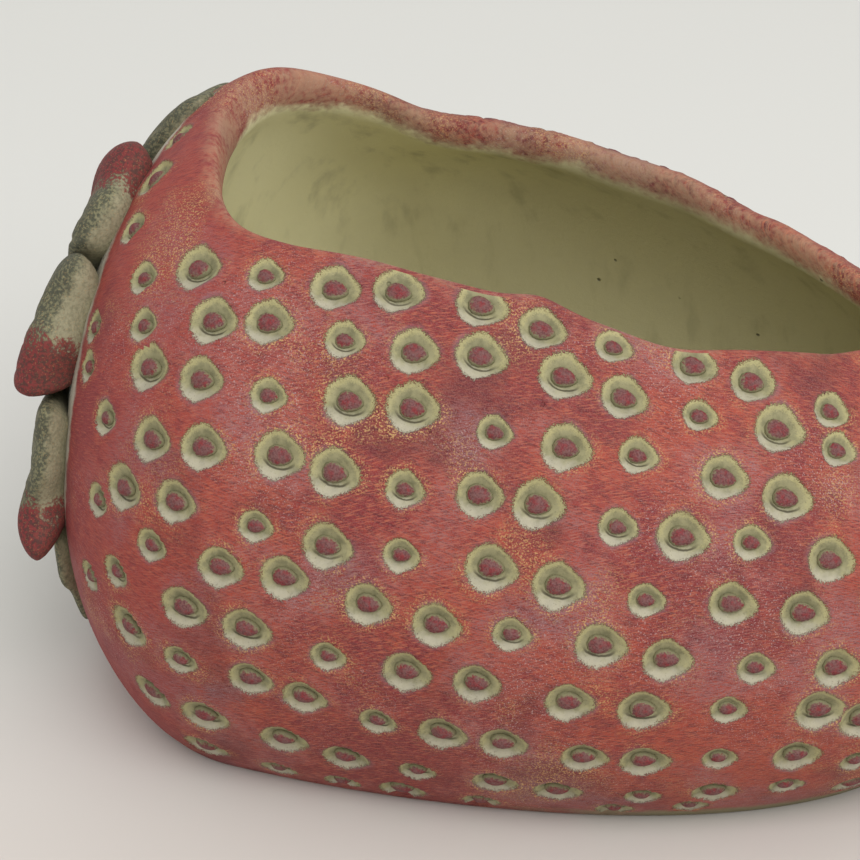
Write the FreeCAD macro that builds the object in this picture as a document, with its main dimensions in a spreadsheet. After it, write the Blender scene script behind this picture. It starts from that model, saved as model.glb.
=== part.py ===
import FreeCAD, Part
import Sketcher
import math
import os

# Strawberry-shaped concrete planter lying on its side.
# +Z is up, +X runs from the leafy end to the tip, and the origin is on the flat base.
# Angles round the berry are 0 at the side that faces -Y and 90 at the top.
# Stations are measured along the berry's axis from the middle of its length.

doc = FreeCAD.newDocument("strawberry_planter")
sheet = doc.addObject("Spreadsheet::Sheet", "sheet")

# Driving dimensions, in millimetres and degrees.
sizes = {
    "berry_length": 355,
    "berry_radius": 125,
    "calyx_reach": 86,
    "axis_height": 78,
    "axis_tilt": 4,
    "wall": 12,
    "floor_thickness": 16,
    "mouth_calyx_inset": 107.5,
    "mouth_calyx_radius": 58,
    "mouth_tip_inset": 105.5,
    "mouth_tip_radius": 34,
    "mouth_side_radius": 330,
    "rim_outer_round": 5.5,
    "rim_inner_round": 4,
    "drain_radius": 8,
    "drain_station": 50,
    "dimple_radius": 7.4,
    "dimple_depth": 2.8,
    "small_dimple_radius": 5.6,
    "small_dimple_depth": 2.3,
    "dimple_land": 1.2,
    "dimple_base_gap": 3.5,
    "dimple_lip_gap": 2,
    "seed_length": 8.6,
    "seed_width": 6.4,
    "small_seed_length": 6.4,
    "small_seed_width": 4.8,
    "seed_rise": 0.5,
    "seed_sink": 1.7,
    "row_wander": 2,
    "row_angle_wander": 0.8,
    "small_seed_inset": 48,
    "tip_ring_inset": 58,
    "tip_ring_spacing": 22,
    "shoulder_inset": 30,
    "shoulder_angle": 64,
    "shoulder_step": 13,
    "stem_radius": 10,
    "stem_top_radius": 7,
    "stem_length": 22,
    "sepal_clearance": 1,
    "sepal_root_width": 8,
    "sepal_shoulder": 58,
    "sepal_width": 50,
    "sepal_tip_width": 22,
    "sepal_tip_drop": 6,
    "sepal_side_radius": 62,
    "sepal_lift": 8,
    "sepal_bed": 1,
}

# Each sepal's angle round the calyx, the radius that its tip reaches, how far it stands out from
# the blunt end, and how far its outer face spreads past the berry. The lower ones are short and
# flat, because the berry sits low there.
sepals = [
    (113, 116, 9, 18),
    (80, 96, 13, 26),
    (43, 88, 15, 30),
    (6, 88, 7, 28),
    (320, 82, 1.5, 20),
    (282, 76, 5, 24),
    (244, 76, 6, 24),
    (202, 82, 7, 24),
    (160, 94, 7, 20),
]
for number, (angle, reach, stand, flare) in enumerate(sepals, start=1):
    sizes[f"sepal_angle_{number}"] = angle
    sizes[f"sepal_reach_{number}"] = reach
    sizes[f"sepal_stand_{number}"] = stand
    sizes[f"sepal_flare_{number}"] = flare

# Each row of seeds along a side: the distance of its first seed from the blunt end, its pitch
# and number of seeds, and its rise in degrees above the base's edge at the calyx and tip ends.
seed_rows = [
    (39, 22.6, 11, 89, 103),
    (24.5, 22.6, 12, 81, 95),
    (27, 23.4, 11, 73, 83),
    (37.5, 21.6, 12, 64, 71),
    (49.5, 25, 10, 55, 58),
    (41, 24.4, 11, 50, 44),
    (52, 25.5, 10, 41, 32),
    (35, 22, 12, 33, 16),
    (63.5, 23.8, 10, 20, 3),
    (84, 23, 8, 6, -2),
]
for number, (inset, pitch, count, calyx_rise, tip_rise) in enumerate(seed_rows, start=1):
    sizes[f"row_inset_{number}"] = inset
    sizes[f"row_pitch_{number}"] = pitch
    sizes[f"row_count_{number}"] = count
    sizes[f"row_calyx_rise_{number}"] = calyx_rise
    sizes[f"row_tip_rise_{number}"] = tip_rise
tip_rings = 5
shoulder_seeds = 5

# Unevenness of the hand-set seeds, as a wave that runs on from seed to seed and from row to row.
wave_per_seed = 2.4
wave_per_row = 1.7
angle_wave_ratio = 1.9
small_seed_above = 0.62
ring_small_every = 3

# Shares of the wall's cut edge that the two rounds of the lip may take.
outer_round_share = 0.47
inner_round_share = 0.34

for line, (alias, value) in enumerate(sizes.items(), start=1):
    sheet.set(f"A{line}", alias)
    sheet.set(f"B{line}", str(value))
    sheet.setAlias(f"B{line}", alias)
doc.recompute()


def size(alias):
    return float(sheet.get(alias))


def evaluate(expression):
    return float(sheet.evalExpression(expression.replace("sheet.", "")))


def add(kind, name, expressions):
    """A document object whose properties are tied to the sheet."""
    item = doc.addObject(kind, name)
    for path, expression in expressions.items():
        item.setExpression(path, expression)
    return item


def cut(name, base, tool):
    item = doc.addObject("Part::Cut", name)
    item.Base = base
    item.Tool = tool
    return item


def common(name, base, tool):
    item = doc.addObject("Part::Common", name)
    item.Base = base
    item.Tool = tool
    return item


def fuse(name, shapes):
    item = doc.addObject("Part::MultiFuse", name)
    item.Shapes = shapes
    item.Refine = True
    return item


# The berry's own frame: its origin is the centre of the widest ring, and its local Z runs
# along the axis towards the tip. Local X points down and local Y points to the far side.
widest = "(sheet.calyx_reach - sheet.berry_length / 2)"
tip_reach = "(sheet.berry_length - sheet.calyx_reach)"
widest_station = evaluate(widest)
tilt = math.radians(size("axis_tilt"))
down_the_axis = FreeCAD.Rotation(FreeCAD.Vector(0, 1, 0), 90 + size("axis_tilt"))
berry_placement = FreeCAD.Placement(
    FreeCAD.Vector(widest_station * math.cos(tilt), 0, size("axis_height") - widest_station * math.sin(tilt)),
    down_the_axis,
)


def turned_placement(angle):
    """The berry's frame, turned about its axis so that local Y points out at the angle."""
    turn = FreeCAD.Rotation(FreeCAD.Vector(0, 0, 1), 180 - angle)
    return berry_placement.multiply(FreeCAD.Placement(FreeCAD.Vector(0, 0, 0), turn))


def half_ellipsoid(name, end, axial, radial):
    """Half of an ellipsoid on the berry's axis, on one side of the widest ring."""
    item = add("Part::Ellipsoid", name, {"Radius1": axial, "Radius2": radial, "Radius3": radial})
    item.Angle1 = -90 if end == "calyx" else 0
    item.Angle2 = 0 if end == "calyx" else 90
    item.Angle3 = 360
    item.Placement = berry_placement
    return item


# Closed shell of the pot: a blunt half and a long half, hollow, and cut flat underneath.
calyx_half = half_ellipsoid("calyx_half", "calyx", "sheet.calyx_reach", "sheet.berry_radius")
tip_half = half_ellipsoid("tip_half", "tip", tip_reach, "sheet.berry_radius")
berry = fuse("berry", [calyx_half, tip_half])

hollow_radius = "sheet.berry_radius - sheet.wall"
calyx_hollow = half_ellipsoid("calyx_hollow", "calyx", "sheet.calyx_reach - sheet.wall", hollow_radius)
tip_hollow = half_ellipsoid("tip_hollow", "tip", f"{tip_reach} - sheet.wall", hollow_radius)
hollow = fuse("hollow", [calyx_hollow, tip_hollow])


def slab_below(name, top):
    """A block that reaches up to the height given and is wider than the berry."""
    return add("Part::Box", name, {
        "Length": "2 * sheet.berry_length",
        "Width": "4 * sheet.berry_radius",
        "Height": "2 * sheet.berry_radius",
        "Placement.Base.x": "-sheet.berry_length",
        "Placement.Base.y": "-2 * sheet.berry_radius",
        "Placement.Base.z": f"{top} - 2 * sheet.berry_radius",
    })


berry_on_base = cut("berry_on_base", berry, slab_below("ground", "0"))
planting_space = cut("planting_space", hollow, slab_below("floor_slab", "sheet.floor_thickness"))
closed_shell = cut("closed_shell", berry_on_base, planting_space)


def attached_sketch(body, name, role):
    sketch = body.newObject("Sketcher::SketchObject", name)
    plane = next(item for item in body.Origin.OriginFeatures if item.Role == role)
    sketch.AttachmentSupport = [(plane, "")]
    sketch.MapMode = "FlatFace"
    return sketch


def constrain(sketch, expression, *constraint):
    """A sketch constraint whose value is tied to the sheet."""
    place = sketch.addConstraint(Sketcher.Constraint(*constraint, evaluate(expression)))
    sketch.setExpression(f"Constraints[{place}]", expression)


def outline(body, name, corners, radii):
    """A closed sketch through corners given as pairs of expressions.

    Edge n runs from corner n to the next one, straight or, where radii names it, as an arc
    of that radius that bulges to the right of its direction of travel.
    """
    sketch = attached_sketch(body, name, "XY_Plane")
    points = [FreeCAD.Vector(evaluate(across), evaluate(along), 0) for across, along in corners]
    for edge, start in enumerate(points):
        end = points[(edge + 1) % len(points)]
        if edge in radii:
            chord = end - start
            radius = evaluate(radii[edge])
            bulge = radius - math.sqrt(radius ** 2 - (chord.Length / 2) ** 2)
            right = FreeCAD.Vector(chord.y, -chord.x, 0).normalize()
            sketch.addGeometry(Part.Arc(start, (start + end) / 2 + right * bulge, end))
        else:
            sketch.addGeometry(Part.LineSegment(start, end))
    for edge in range(len(points)):
        following = (edge + 1) % len(points)
        sketch.addConstraint(Sketcher.Constraint("Coincident", edge, 2, following, 1))
    for edge, (across, along) in enumerate(corners):
        constrain(sketch, across, "DistanceX", -1, 1, edge, 1)
        constrain(sketch, along, "DistanceY", -1, 1, edge, 1)
    for edge, expression in radii.items():
        constrain(sketch, expression, "Radius", edge)
    return sketch


def egg_outline(body, name):
    """The mouth seen from above: two end arcs and two side arcs that run into each other."""
    sketch = attached_sketch(body, name, "XY_Plane")
    centres = {
        "calyx": "sheet.mouth_calyx_inset - sheet.berry_length / 2",
        "tip": "sheet.berry_length / 2 - sheet.mouth_tip_inset",
    }
    calyx_x = evaluate(centres["calyx"])
    tip_x = evaluate(centres["tip"])
    side_r = size("mouth_side_radius")
    to_calyx = side_r - size("mouth_calyx_radius")
    to_tip = side_r - size("mouth_tip_radius")
    side_x = (calyx_x + tip_x) / 2 + (to_calyx ** 2 - to_tip ** 2) / (2 * (tip_x - calyx_x))
    side_y = math.sqrt(to_calyx ** 2 - (side_x - calyx_x) ** 2)
    calyx_turn = math.atan2(side_y, calyx_x - side_x)
    tip_turn = math.atan2(side_y, tip_x - side_x)
    arcs = [
        (side_x, side_y, side_r, -calyx_turn, -tip_turn),
        (tip_x, 0, size("mouth_tip_radius"), -tip_turn, tip_turn),
        (side_x, -side_y, side_r, tip_turn, calyx_turn),
        (calyx_x, 0, size("mouth_calyx_radius"), calyx_turn, 2 * math.pi - calyx_turn),
    ]
    for across, along, radius, first, last in arcs:
        circle = Part.Circle(FreeCAD.Vector(across, along, 0), FreeCAD.Vector(0, 0, 1), radius)
        sketch.addGeometry(Part.ArcOfCircle(circle, first, last))
    for edge in range(len(arcs)):
        sketch.addConstraint(Sketcher.Constraint("Tangent", edge, 2, (edge + 1) % len(arcs), 1))
    near_side, tip_end, far_side, calyx_end = range(len(arcs))
    sketch.addConstraint(Sketcher.Constraint("Equal", near_side, far_side))
    constrain(sketch, "sheet.mouth_side_radius", "Radius", near_side)
    for end, side in ((tip_end, "tip"), (calyx_end, "calyx")):
        sketch.addConstraint(Sketcher.Constraint("PointOnObject", end, 3, -1))
        constrain(sketch, centres[side], "DistanceX", -1, 1, end, 3)
        constrain(sketch, f"sheet.mouth_{side}_radius", "Radius", end)
    return sketch


# Mouth of the pot: an egg-shaped hole straight down through the top of the berry.
mouth = doc.addObject("PartDesign::Body", "mouth")
mouth_outline = egg_outline(mouth, "mouth_outline")
mouth_pad = mouth.newObject("PartDesign::Pad", "mouth_pad")
mouth_pad.Profile = mouth_outline
mouth_pad.setExpression("Length", "2 * sheet.berry_radius")
mouth.setExpression("Placement.Base.z", "sheet.axis_height")
open_shell = cut("open_shell", closed_shell, mouth)
doc.recompute()


def edge_numbers(shape, *solids):
    """Numbers of the edges that lie on the surface of every solid given."""
    touch = 0.001
    steps = 8
    found = []
    for number, edge in enumerate(shape.Edges, start=1):
        step = (edge.LastParameter - edge.FirstParameter) / steps
        places = [Part.Vertex(edge.valueAt(edge.FirstParameter + step * index)) for index in range(steps + 1)]
        shells = [solid.Shells[0] for solid in solids]
        if all(shell.distToShape(place)[0] < touch for shell in shells for place in places):
            found.append(number)
    return found


# Rounded lip of the pot. Both rounds share the cut edge of the wall, so they stay within it.
outer_round = min(size("rim_outer_round"), outer_round_share * size("wall"))
inner_round = min(size("rim_inner_round"), inner_round_share * size("wall"))
outer_edges = edge_numbers(open_shell.Shape, mouth.Shape, berry.Shape)
inner_edges = edge_numbers(open_shell.Shape, mouth.Shape, hollow.Shape)
lipped_shell = doc.addObject("Part::Fillet", "lipped_shell")
lipped_shell.Base = open_shell
lipped_shell.Edges = (
    [(number, outer_round, outer_round) for number in outer_edges]
    + [(number, inner_round, inner_round) for number in inner_edges]
)

drain = add("Part::Cylinder", "drain", {
    "Radius": "sheet.drain_radius",
    "Height": "2 * sheet.floor_thickness",
    "Placement.Base.x": "sheet.drain_station",
    "Placement.Base.z": "-sheet.floor_thickness / 2",
})
drained_shell = cut("drained_shell", lipped_shell, drain)


def skin_placement(station, angle):
    """A frame on the berry's skin: local Z points out of it and local X along it to the tip."""
    along = station - widest_station
    reach = size("calyx_reach") if along < 0 else evaluate(tip_reach)
    radius = size("berry_radius") * math.sqrt(1 - (along / reach) ** 2)
    turn = math.radians(angle)
    outward = FreeCAD.Vector(-math.sin(turn), -math.cos(turn), 0)
    axis = FreeCAD.Vector(0, 0, 1)
    slope = (radius / size("berry_radius") ** 2, along / reach ** 2)
    normal = (outward * slope[0] + axis * slope[1]).normalize()
    tipward = (axis * slope[0] - outward * slope[1]).normalize()
    frame = FreeCAD.Rotation(tipward, normal.cross(tipward), normal, "ZXY")
    return berry_placement.multiply(FreeCAD.Placement(outward * radius + axis * along, frame))


mouth_face = Part.Face(mouth_outline.Shape.Wires[0])


class SeedField:
    """Places for the dimples and their seeds, each clear of the base, the lip and the others."""

    def __init__(self):
        self.placed = []

    def fits(self, placement, radius):
        normal = placement.Rotation.multVec(FreeCAD.Vector(0, 0, 1))
        if placement.Base.z < radius * math.hypot(normal.x, normal.y) + size("dimple_base_gap"):
            return False
        beside_mouth = Part.Vertex(placement.Base.x, placement.Base.y, mouth_face.BoundBox.ZMin)
        from_mouth = mouth_face.distToShape(beside_mouth)[0]
        if normal.z > 0 and from_mouth < radius * normal.z + size("dimple_lip_gap"):
            return False
        return all(
            placement.Base.distanceToPoint(other.Base) > radius + other_radius + size("dimple_land")
            for other, other_radius, small in self.placed
        )

    def group(self, places):
        """The placed seeds of one group. A small one goes where a large one has no room."""
        members = []
        for station, angle, wanted_small in places:
            placement = skin_placement(station, angle)
            for small in sorted({wanted_small, True}):
                radius = size("small_dimple_radius" if small else "dimple_radius")
                if self.fits(placement, radius):
                    members.append((placement, radius, small))
                    self.placed.append(members[-1])
                    break
        return members


blunt_end = -size("berry_length") / 2
tip_end = size("berry_length") / 2
base_edge_angle = -math.degrees(math.asin(size("axis_height") / size("berry_radius")))


def row_places(number, far_side):
    """Stations and angles along one row, a little uneven, as if set by hand."""
    pitch = size(f"row_pitch_{number}")
    start = blunt_end + size(f"row_inset_{number}") + far_side * pitch / 2
    for index in range(round(size(f"row_count_{number}"))):
        wave = wave_per_seed * index + wave_per_row * number + far_side
        station = start + index * pitch + size("row_wander") * math.sin(wave)
        share = (station - blunt_end) / size("berry_length")
        rise = size(f"row_calyx_rise_{number}") * (1 - share) + size(f"row_tip_rise_{number}") * share
        angle = base_edge_angle + rise + size("row_angle_wander") * math.sin(angle_wave_ratio * wave)
        small = math.cos(wave) > small_seed_above or station < blunt_end + size("small_seed_inset")
        yield station, 180 - angle if far_side else angle, small


def ring_places(number):
    """Stations and angles round one ring near the tip, where the rows would crowd."""
    inset = size("tip_ring_inset") * ((tip_rings + 1 - number) / tip_rings) ** 2
    station = tip_end - inset
    share = (station - widest_station) / evaluate(tip_reach)
    around = 2 * math.pi * size("berry_radius") * math.sqrt(1 - share ** 2)
    count = round(around / size("tip_ring_spacing"))
    for index in range(count):
        yield station, 360 * (index + number / 2) / count, (index + number) % ring_small_every == 0


def shoulder_places():
    """Stations and angles of the seeds between the calyx and the mouth."""
    for index in range(shoulder_seeds):
        angle = size("shoulder_angle") + index * size("shoulder_step")
        yield blunt_end + size("shoulder_inset"), angle, index % 2 == 0


field = SeedField()
seed_groups = {}
for number in range(1, len(seed_rows) + 1):
    seed_groups[f"seeds_near_row_{number:02d}"] = field.group(row_places(number, 0))
    seed_groups[f"seeds_far_row_{number:02d}"] = field.group(row_places(number, 1))
for number in range(1, tip_rings + 1):
    seed_groups[f"seeds_tip_ring_{number}"] = field.group(ring_places(number))
seed_groups["seeds_shoulder"] = field.group(shoulder_places())


def dimple(name, radius, depth):
    """The ball that presses a dimple of that radius and depth, over a skin frame's origin."""
    ball = f"((sheet.{radius} ^ 2 + sheet.{depth} ^ 2) / (2 * sheet.{depth}))"
    return add("Part::Sphere", name, {"Radius": ball, "Placement.Base.z": f"{ball} - sheet.{depth}"})


def seed(name, length, width, ball):
    """An almond seed, domed on top and seated on the bottom of its dimple."""
    almond = add("Part::Ellipsoid", f"{name}_almond", {
        "Radius1": "sheet.seed_rise + sheet.seed_sink",
        "Radius2": f"sheet.{length} / 2",
        "Radius3": f"sheet.{width} / 2",
        "Placement.Base.z": "-sheet.seed_sink",
    })
    almond.Angle1 = -90
    almond.Angle2 = 90
    almond.Angle3 = 360
    return common(name, almond, ball)


balls = {
    False: dimple("dimple_ball", "dimple_radius", "dimple_depth"),
    True: dimple("small_dimple_ball", "small_dimple_radius", "small_dimple_depth"),
}
seeds = {
    False: seed("seed", "seed_length", "seed_width", balls[False]),
    True: seed("small_seed", "small_seed_length", "small_seed_width", balls[True]),
}
doc.recompute()


def scattered(name, masters, members):
    """Copies of the masters, one in each skin frame, as one group of separate solids."""
    copies = []
    for placement, radius, small in members:
        copy = masters[small].Shape.copy()
        copy.Placement = placement.multiply(copy.Placement)
        copies.append(copy)
    item = doc.addObject("Part::Feature", name)
    item.Shape = Part.makeCompound(copies)
    item.Placement = FreeCAD.Placement()
    return item


dimples = scattered("dimples", balls, field.placed)
pot_shell = cut("pot_shell", drained_shell, dimples)
parts = [pot_shell]
parts += [scattered(name, seeds, members) for name, members in seed_groups.items()]

# Stem stub in the middle of the calyx, seated on the berry's blunt end.
stem_blank = add("Part::Cone", "stem_blank", {
    "Radius1": "sheet.stem_top_radius",
    "Radius2": "sheet.stem_radius",
    "Height": "sheet.stem_length + sheet.wall / 2",
})
stem_start = FreeCAD.Vector(0, 0, -size("calyx_reach") - size("stem_length"))
stem_blank.Placement = berry_placement.multiply(FreeCAD.Placement(stem_start, FreeCAD.Rotation()))
parts.append(cut("stem_stub", stem_blank, calyx_half))

# What the sepals lie on: the berry near the stem, and a face that lifts off it towards their tips.
sepal_underside = half_ellipsoid(
    "sepal_underside",
    "calyx",
    "sheet.calyx_reach - sheet.sepal_bed",
    "sheet.berry_radius + sheet.sepal_lift",
)
sepal_bed = fuse("sepal_bed", [calyx_half, sepal_underside])


def sepal_layer(number):
    """The layer over the bed that one sepal is cut from."""
    top = half_ellipsoid(
        f"sepal_top_{number:02d}",
        "calyx",
        f"sheet.calyx_reach + sheet.sepal_stand_{number}",
        f"sheet.berry_radius + sheet.sepal_flare_{number}",
    )
    return cut(f"sepal_layer_{number:02d}", top, sepal_bed)


def sepal_blade(number):
    """A leaf-shaped prism along the berry's axis, pointing out from the stem."""
    blade = doc.addObject("PartDesign::Body", f"sepal_blade_{number:02d}")
    root = "sheet.stem_radius + sheet.sepal_clearance"
    tip = f"sheet.sepal_reach_{number} - sheet.sepal_tip_drop"
    right_side = [
        ("sheet.sepal_root_width / 2", root),
        ("sheet.sepal_width / 2", "sheet.sepal_shoulder"),
        ("sheet.sepal_tip_width / 2", tip),
    ]
    left_side = [(f"-{across}", along) for across, along in reversed(right_side)]
    tip_radius = "(sheet.sepal_tip_width ^ 2 / 4 + sheet.sepal_tip_drop ^ 2) / (2 * sheet.sepal_tip_drop)"
    curves = {1: "sheet.sepal_side_radius", 2: tip_radius, 3: "sheet.sepal_side_radius"}
    leaf = outline(blade, f"sepal_outline_{number:02d}", right_side + left_side, curves)
    pad = blade.newObject("PartDesign::Pad", f"sepal_pad_{number:02d}")
    pad.Profile = leaf
    pad.Reversed = True
    pad.setExpression("Length", f"sheet.calyx_reach + 2 * sheet.sepal_stand_{number}")
    blade.Placement = turned_placement(size(f"sepal_angle_{number}"))
    return blade


# Sepals: each one butts against the edges of those set before it on either side.
blades = [sepal_blade(number) for number in range(1, len(sepals) + 1)]
for index, blade in enumerate(blades):
    name = f"sepal_{index + 1:02d}"
    earlier = blades[max(index - 1, 0):index]
    if index == len(blades) - 1:
        earlier = earlier + blades[:1]
    sepal = common(f"{name}_whole" if earlier else name, sepal_layer(index + 1), blade)
    for place, neighbour in enumerate(earlier, start=1):
        sepal = cut(name if place == len(earlier) else f"{name}_trimmed", sepal, neighbour)
    parts.append(sepal)
doc.recompute()

for item in doc.Objects:
    if "Invalid" in item.State or "Error" in item.State:
        raise RuntimeError(f"{item.Label} did not build: {item.State}")
for item in parts:
    if item.Shape.isNull() or not item.Shape.isValid() or not item.Shape.Solids:
        raise RuntimeError(f"{item.Label} has no valid shape")

os.makedirs("parts", exist_ok=True)
for item in parts:
    item.Shape.exportStep(f"parts/{item.Label}.step")
    print(item.Label, "solids", len(item.Shape.Solids), "volume", round(item.Shape.Volume, 1))
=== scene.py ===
import math
import bpy
import numpy as np
from mathutils import Matrix, Vector


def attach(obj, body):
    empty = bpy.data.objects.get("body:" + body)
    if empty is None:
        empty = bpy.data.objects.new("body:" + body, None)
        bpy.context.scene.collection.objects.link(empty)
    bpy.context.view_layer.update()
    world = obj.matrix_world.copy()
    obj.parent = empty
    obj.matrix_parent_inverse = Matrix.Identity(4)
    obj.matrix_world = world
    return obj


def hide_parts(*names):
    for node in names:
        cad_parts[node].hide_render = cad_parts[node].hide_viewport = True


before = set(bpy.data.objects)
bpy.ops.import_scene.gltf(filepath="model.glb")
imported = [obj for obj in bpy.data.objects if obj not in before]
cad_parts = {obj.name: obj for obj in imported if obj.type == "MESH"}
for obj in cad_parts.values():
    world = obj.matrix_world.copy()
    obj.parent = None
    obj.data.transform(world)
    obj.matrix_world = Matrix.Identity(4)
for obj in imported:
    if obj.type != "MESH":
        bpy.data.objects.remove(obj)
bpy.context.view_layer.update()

berry = {                       # the cast body, in metres and degrees
    "length": 0.355,
    "radius": 0.125,
    "calyxReach": 0.086,        # from the widest ring to the leafy end
    "axisHeight": 0.078,
    "tilt": 4.0,                # the tip hangs a little lower than the leafy end
    "wall": 0.012,
    "floor": 0.016,
}
fullTurn = 2 * math.pi
tipReach = berry["length"] - berry["calyxReach"]
tilt = math.radians(berry["tilt"])
axisWay = np.array([math.cos(tilt), 0, -math.sin(tilt)])
overWay = np.array([math.sin(tilt), 0, math.cos(tilt)])
nearWay = np.array([0, -1.0, 0])
widest = np.array([0, 0, berry["axisHeight"]]) + axisWay * (berry["calyxReach"] - berry["length"] / 2)


# places on the berry: distance along its axis from the widest ring, angle from the near side over the top
def berryPlaces(points):
    away = points - widest
    angle = np.arctan2(away @ overWay, away @ nearWay)
    return away @ axisWay, np.mod(angle + math.pi / 2, fullTurn) - math.pi / 2


# skin point, normal and tangent to the tip: an ellipse turned round the axis, blunt on the calyx side
def skinFrame(along, angle):
    reach = np.where(along < 0, berry["calyxReach"], tipReach)[:, None]
    along, angle = along[:, None], angle[:, None]
    radius = berry["radius"] * np.sqrt(1 - (along / reach) ** 2)
    outward = np.cos(angle) * nearWay + np.sin(angle) * overWay
    normal = outward * radius / berry["radius"] ** 2 + axisWay * along / reach ** 2
    tipward = axisWay * radius / berry["radius"] ** 2 - outward * along / reach ** 2
    normal /= np.linalg.norm(normal, axis=1, keepdims=True)
    tipward /= np.linalg.norm(tipward, axis=1, keepdims=True)
    return widest + axisWay * along + outward * radius, normal, tipward


# distance from a place inside to the skin, moved in by inset: the larger root of a quadratic on either half
def reachOfSkin(start, ways, inset):
    radius = berry["radius"] - inset
    away = start - widest
    startAlong, startUp, startNear = away @ axisWay, away @ overWay, away @ nearWay
    wayAlong, wayUp, wayNear = ways @ axisWay, ways @ overWay, ways @ nearWay

    # that root for an ellipse with this reach along the axis
    def root(reach):
        square = (wayAlong / reach) ** 2 + (wayUp ** 2 + wayNear ** 2) / radius ** 2
        half = startAlong * wayAlong / reach ** 2 + (startUp * wayUp + startNear * wayNear) / radius ** 2
        rest = (startAlong / reach) ** 2 + (startUp ** 2 + startNear ** 2) / radius ** 2 - 1
        return (np.sqrt(half ** 2 - square * rest) - half) / square

    tipSide = root(tipReach - inset)
    return np.where(startAlong + wayAlong * tipSide >= 0, tipSide, root(berry["calyxReach"] - inset))


# smooth step from 0 at low to 1 at high
def ease(value, low, high):
    share = np.clip((value - low) / (high - low), 0, 1)
    return share * share * (3 - 2 * share)


hand = {                        # how far the hand-made form strays from the plain one
    "lump": 0.0011,             # slow waves of the skin, and the heights between which they fade in
    "lumpSpan": (0.0, 0.04),
    "lifts": [                  # where round the mouth the lip rises or dips, how broadly and how far
        (163, 13, 0.0095), (131, 12, -0.0065), (112, 14, -0.003), (70, 25, -0.001), (40, 10, -0.003),
        (268, 16, 0.0015), (320, 11, -0.002), (345, 12, 0.002),
    ],
    "liftSpan": (0.125, 0.175),     # heights between which the lip's waves fade in
    "swell": 0.008,             # the blunt end's upper shoulder is fuller than the plain berry
    "swellAlong": -0.062,       # where that is along the axis and round it, and how broad
    "swellLength": 0.028,
    "swellAngle": 95,
    "swellTurn": 55,
    "swellDepth": (0.83, 0.95),     # it fades in through the wall, 1 being the skin, and away from the axis
    "swellRadius": (0.02, 0.05),
}


# angle round the mouth, seen from above
def mouthTurn(points):
    return np.degrees(np.arctan2(points[..., 1], points[..., 0] - pot["heart"][0]))


# sum of bell curves round the mouth, each at an angle with a width and a height
def bells(turn, peaks):
    apart = [np.mod(turn - at + 180, 360) - 180 for at, width, size in peaks]
    return sum(size * np.exp(-(gap / width) ** 2) for gap, (at, width, size) in zip(apart, peaks))


# hand-made form: slow waves push the skin in and out, a bell swells the shoulder along the skin's normal,
# and bells raise or lower the lip
def handMade(points):
    x, y, z = points[..., 0], points[..., 1], points[..., 2]
    wave = np.sin(31 * x + 17 * z + 0.6) * np.sin(37 * y - 21 * z + 1.1)
    wave = wave + 0.6 * np.sin(58 * x - 44 * y + 1.9)
    along, angle = berryPlaces(points)
    out = points - widest - along[..., None] * axisWay
    radius = np.linalg.norm(out, axis=-1)
    out = out / np.maximum(radius, 0.01)[..., None]             # shorter than 1 only beside the axis
    moved = points + out * (hand["lump"] * wave * ease(z, *hand["lumpSpan"]))[..., None]

    normal = out * (radius / berry["radius"] ** 2)[..., None]
    normal = normal + axisWay * (along / berry["calyxReach"] ** 2)[..., None]
    normal = normal / np.maximum(np.linalg.norm(normal, axis=-1, keepdims=True), 1)
    onSkin = ease((radius / berry["radius"]) ** 2 + (along / berry["calyxReach"]) ** 2, *hand["swellDepth"])
    bell = ((along - hand["swellAlong"]) / hand["swellLength"]) ** 2
    bell = bell + ((np.degrees(angle) - hand["swellAngle"]) / hand["swellTurn"]) ** 2
    swell = hand["swell"] * np.exp(-bell) * onSkin * ease(radius, *hand["swellRadius"])
    moved = moved + normal * swell[..., None]
    moved[..., 2] += bells(mouthTurn(points), hand["lifts"]) * ease(z, *hand["liftSpan"])
    return moved


# mesh from points and faces, with every face smooth
def makePiece(name, points, faces, material):
    mesh = bpy.data.meshes.new(name)
    mesh.from_pydata(points.tolist(), [], faces)
    mesh.polygons.foreach_set("use_smooth", np.ones(len(mesh.polygons), bool))
    mesh.materials.append(material)
    piece = bpy.data.objects.new(name, mesh)
    bpy.context.scene.collection.objects.link(piece)
    return piece


# quads of a grid of rows by columns that closes round its columns, and round its rows if asked
def gridFaces(rows, columns, ringed=False):
    row, column = np.meshgrid(np.arange(rows if ringed else rows - 1), np.arange(columns), indexing="ij")
    here, below = row * columns, (row + 1) % rows * columns
    following = (column + 1) % columns
    corners = [here + column, here + following, below + following, below + column]
    return np.stack(corners, axis=-1).reshape(-1, 4)


# points or values of a grid whose first and last rows are each one spot
def closedRows(grid):
    return np.concatenate([grid[:1, 0], grid[1:-1].reshape(-1, 3), grid[-1:, 0]])


# faces of copies of such a grid: fans at their first spots, quads, and fans at their last
def closedFaces(rows, columns, copies=1):
    start, following = np.arange(columns), (np.arange(columns) + 1) % columns
    last = 1 + (rows - 3) * columns
    first = np.stack([0 * start, start + 1, following + 1], axis=-1)
    quads = gridFaces(rows - 2, columns)[:, ::-1] + 1
    end = np.stack([0 * start + last + columns, last + following, last + start], axis=-1)
    shift = (np.arange(copies) * (last + columns + 1))[:, None, None]
    shifted = [(part + shift).reshape(-1, part.shape[1]) for part in (first, quads, end)]
    return [face for part in shifted for face in part.tolist()]


# writes a value for each point or each face corner as a named attribute
def writeAttribute(piece, name, kind, domain, values):
    layer = piece.data.attributes.new(name, kind, domain)
    layer.data.foreach_set("value" if kind == "FLOAT" else "vector", np.asarray(values, np.float32).ravel())


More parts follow.
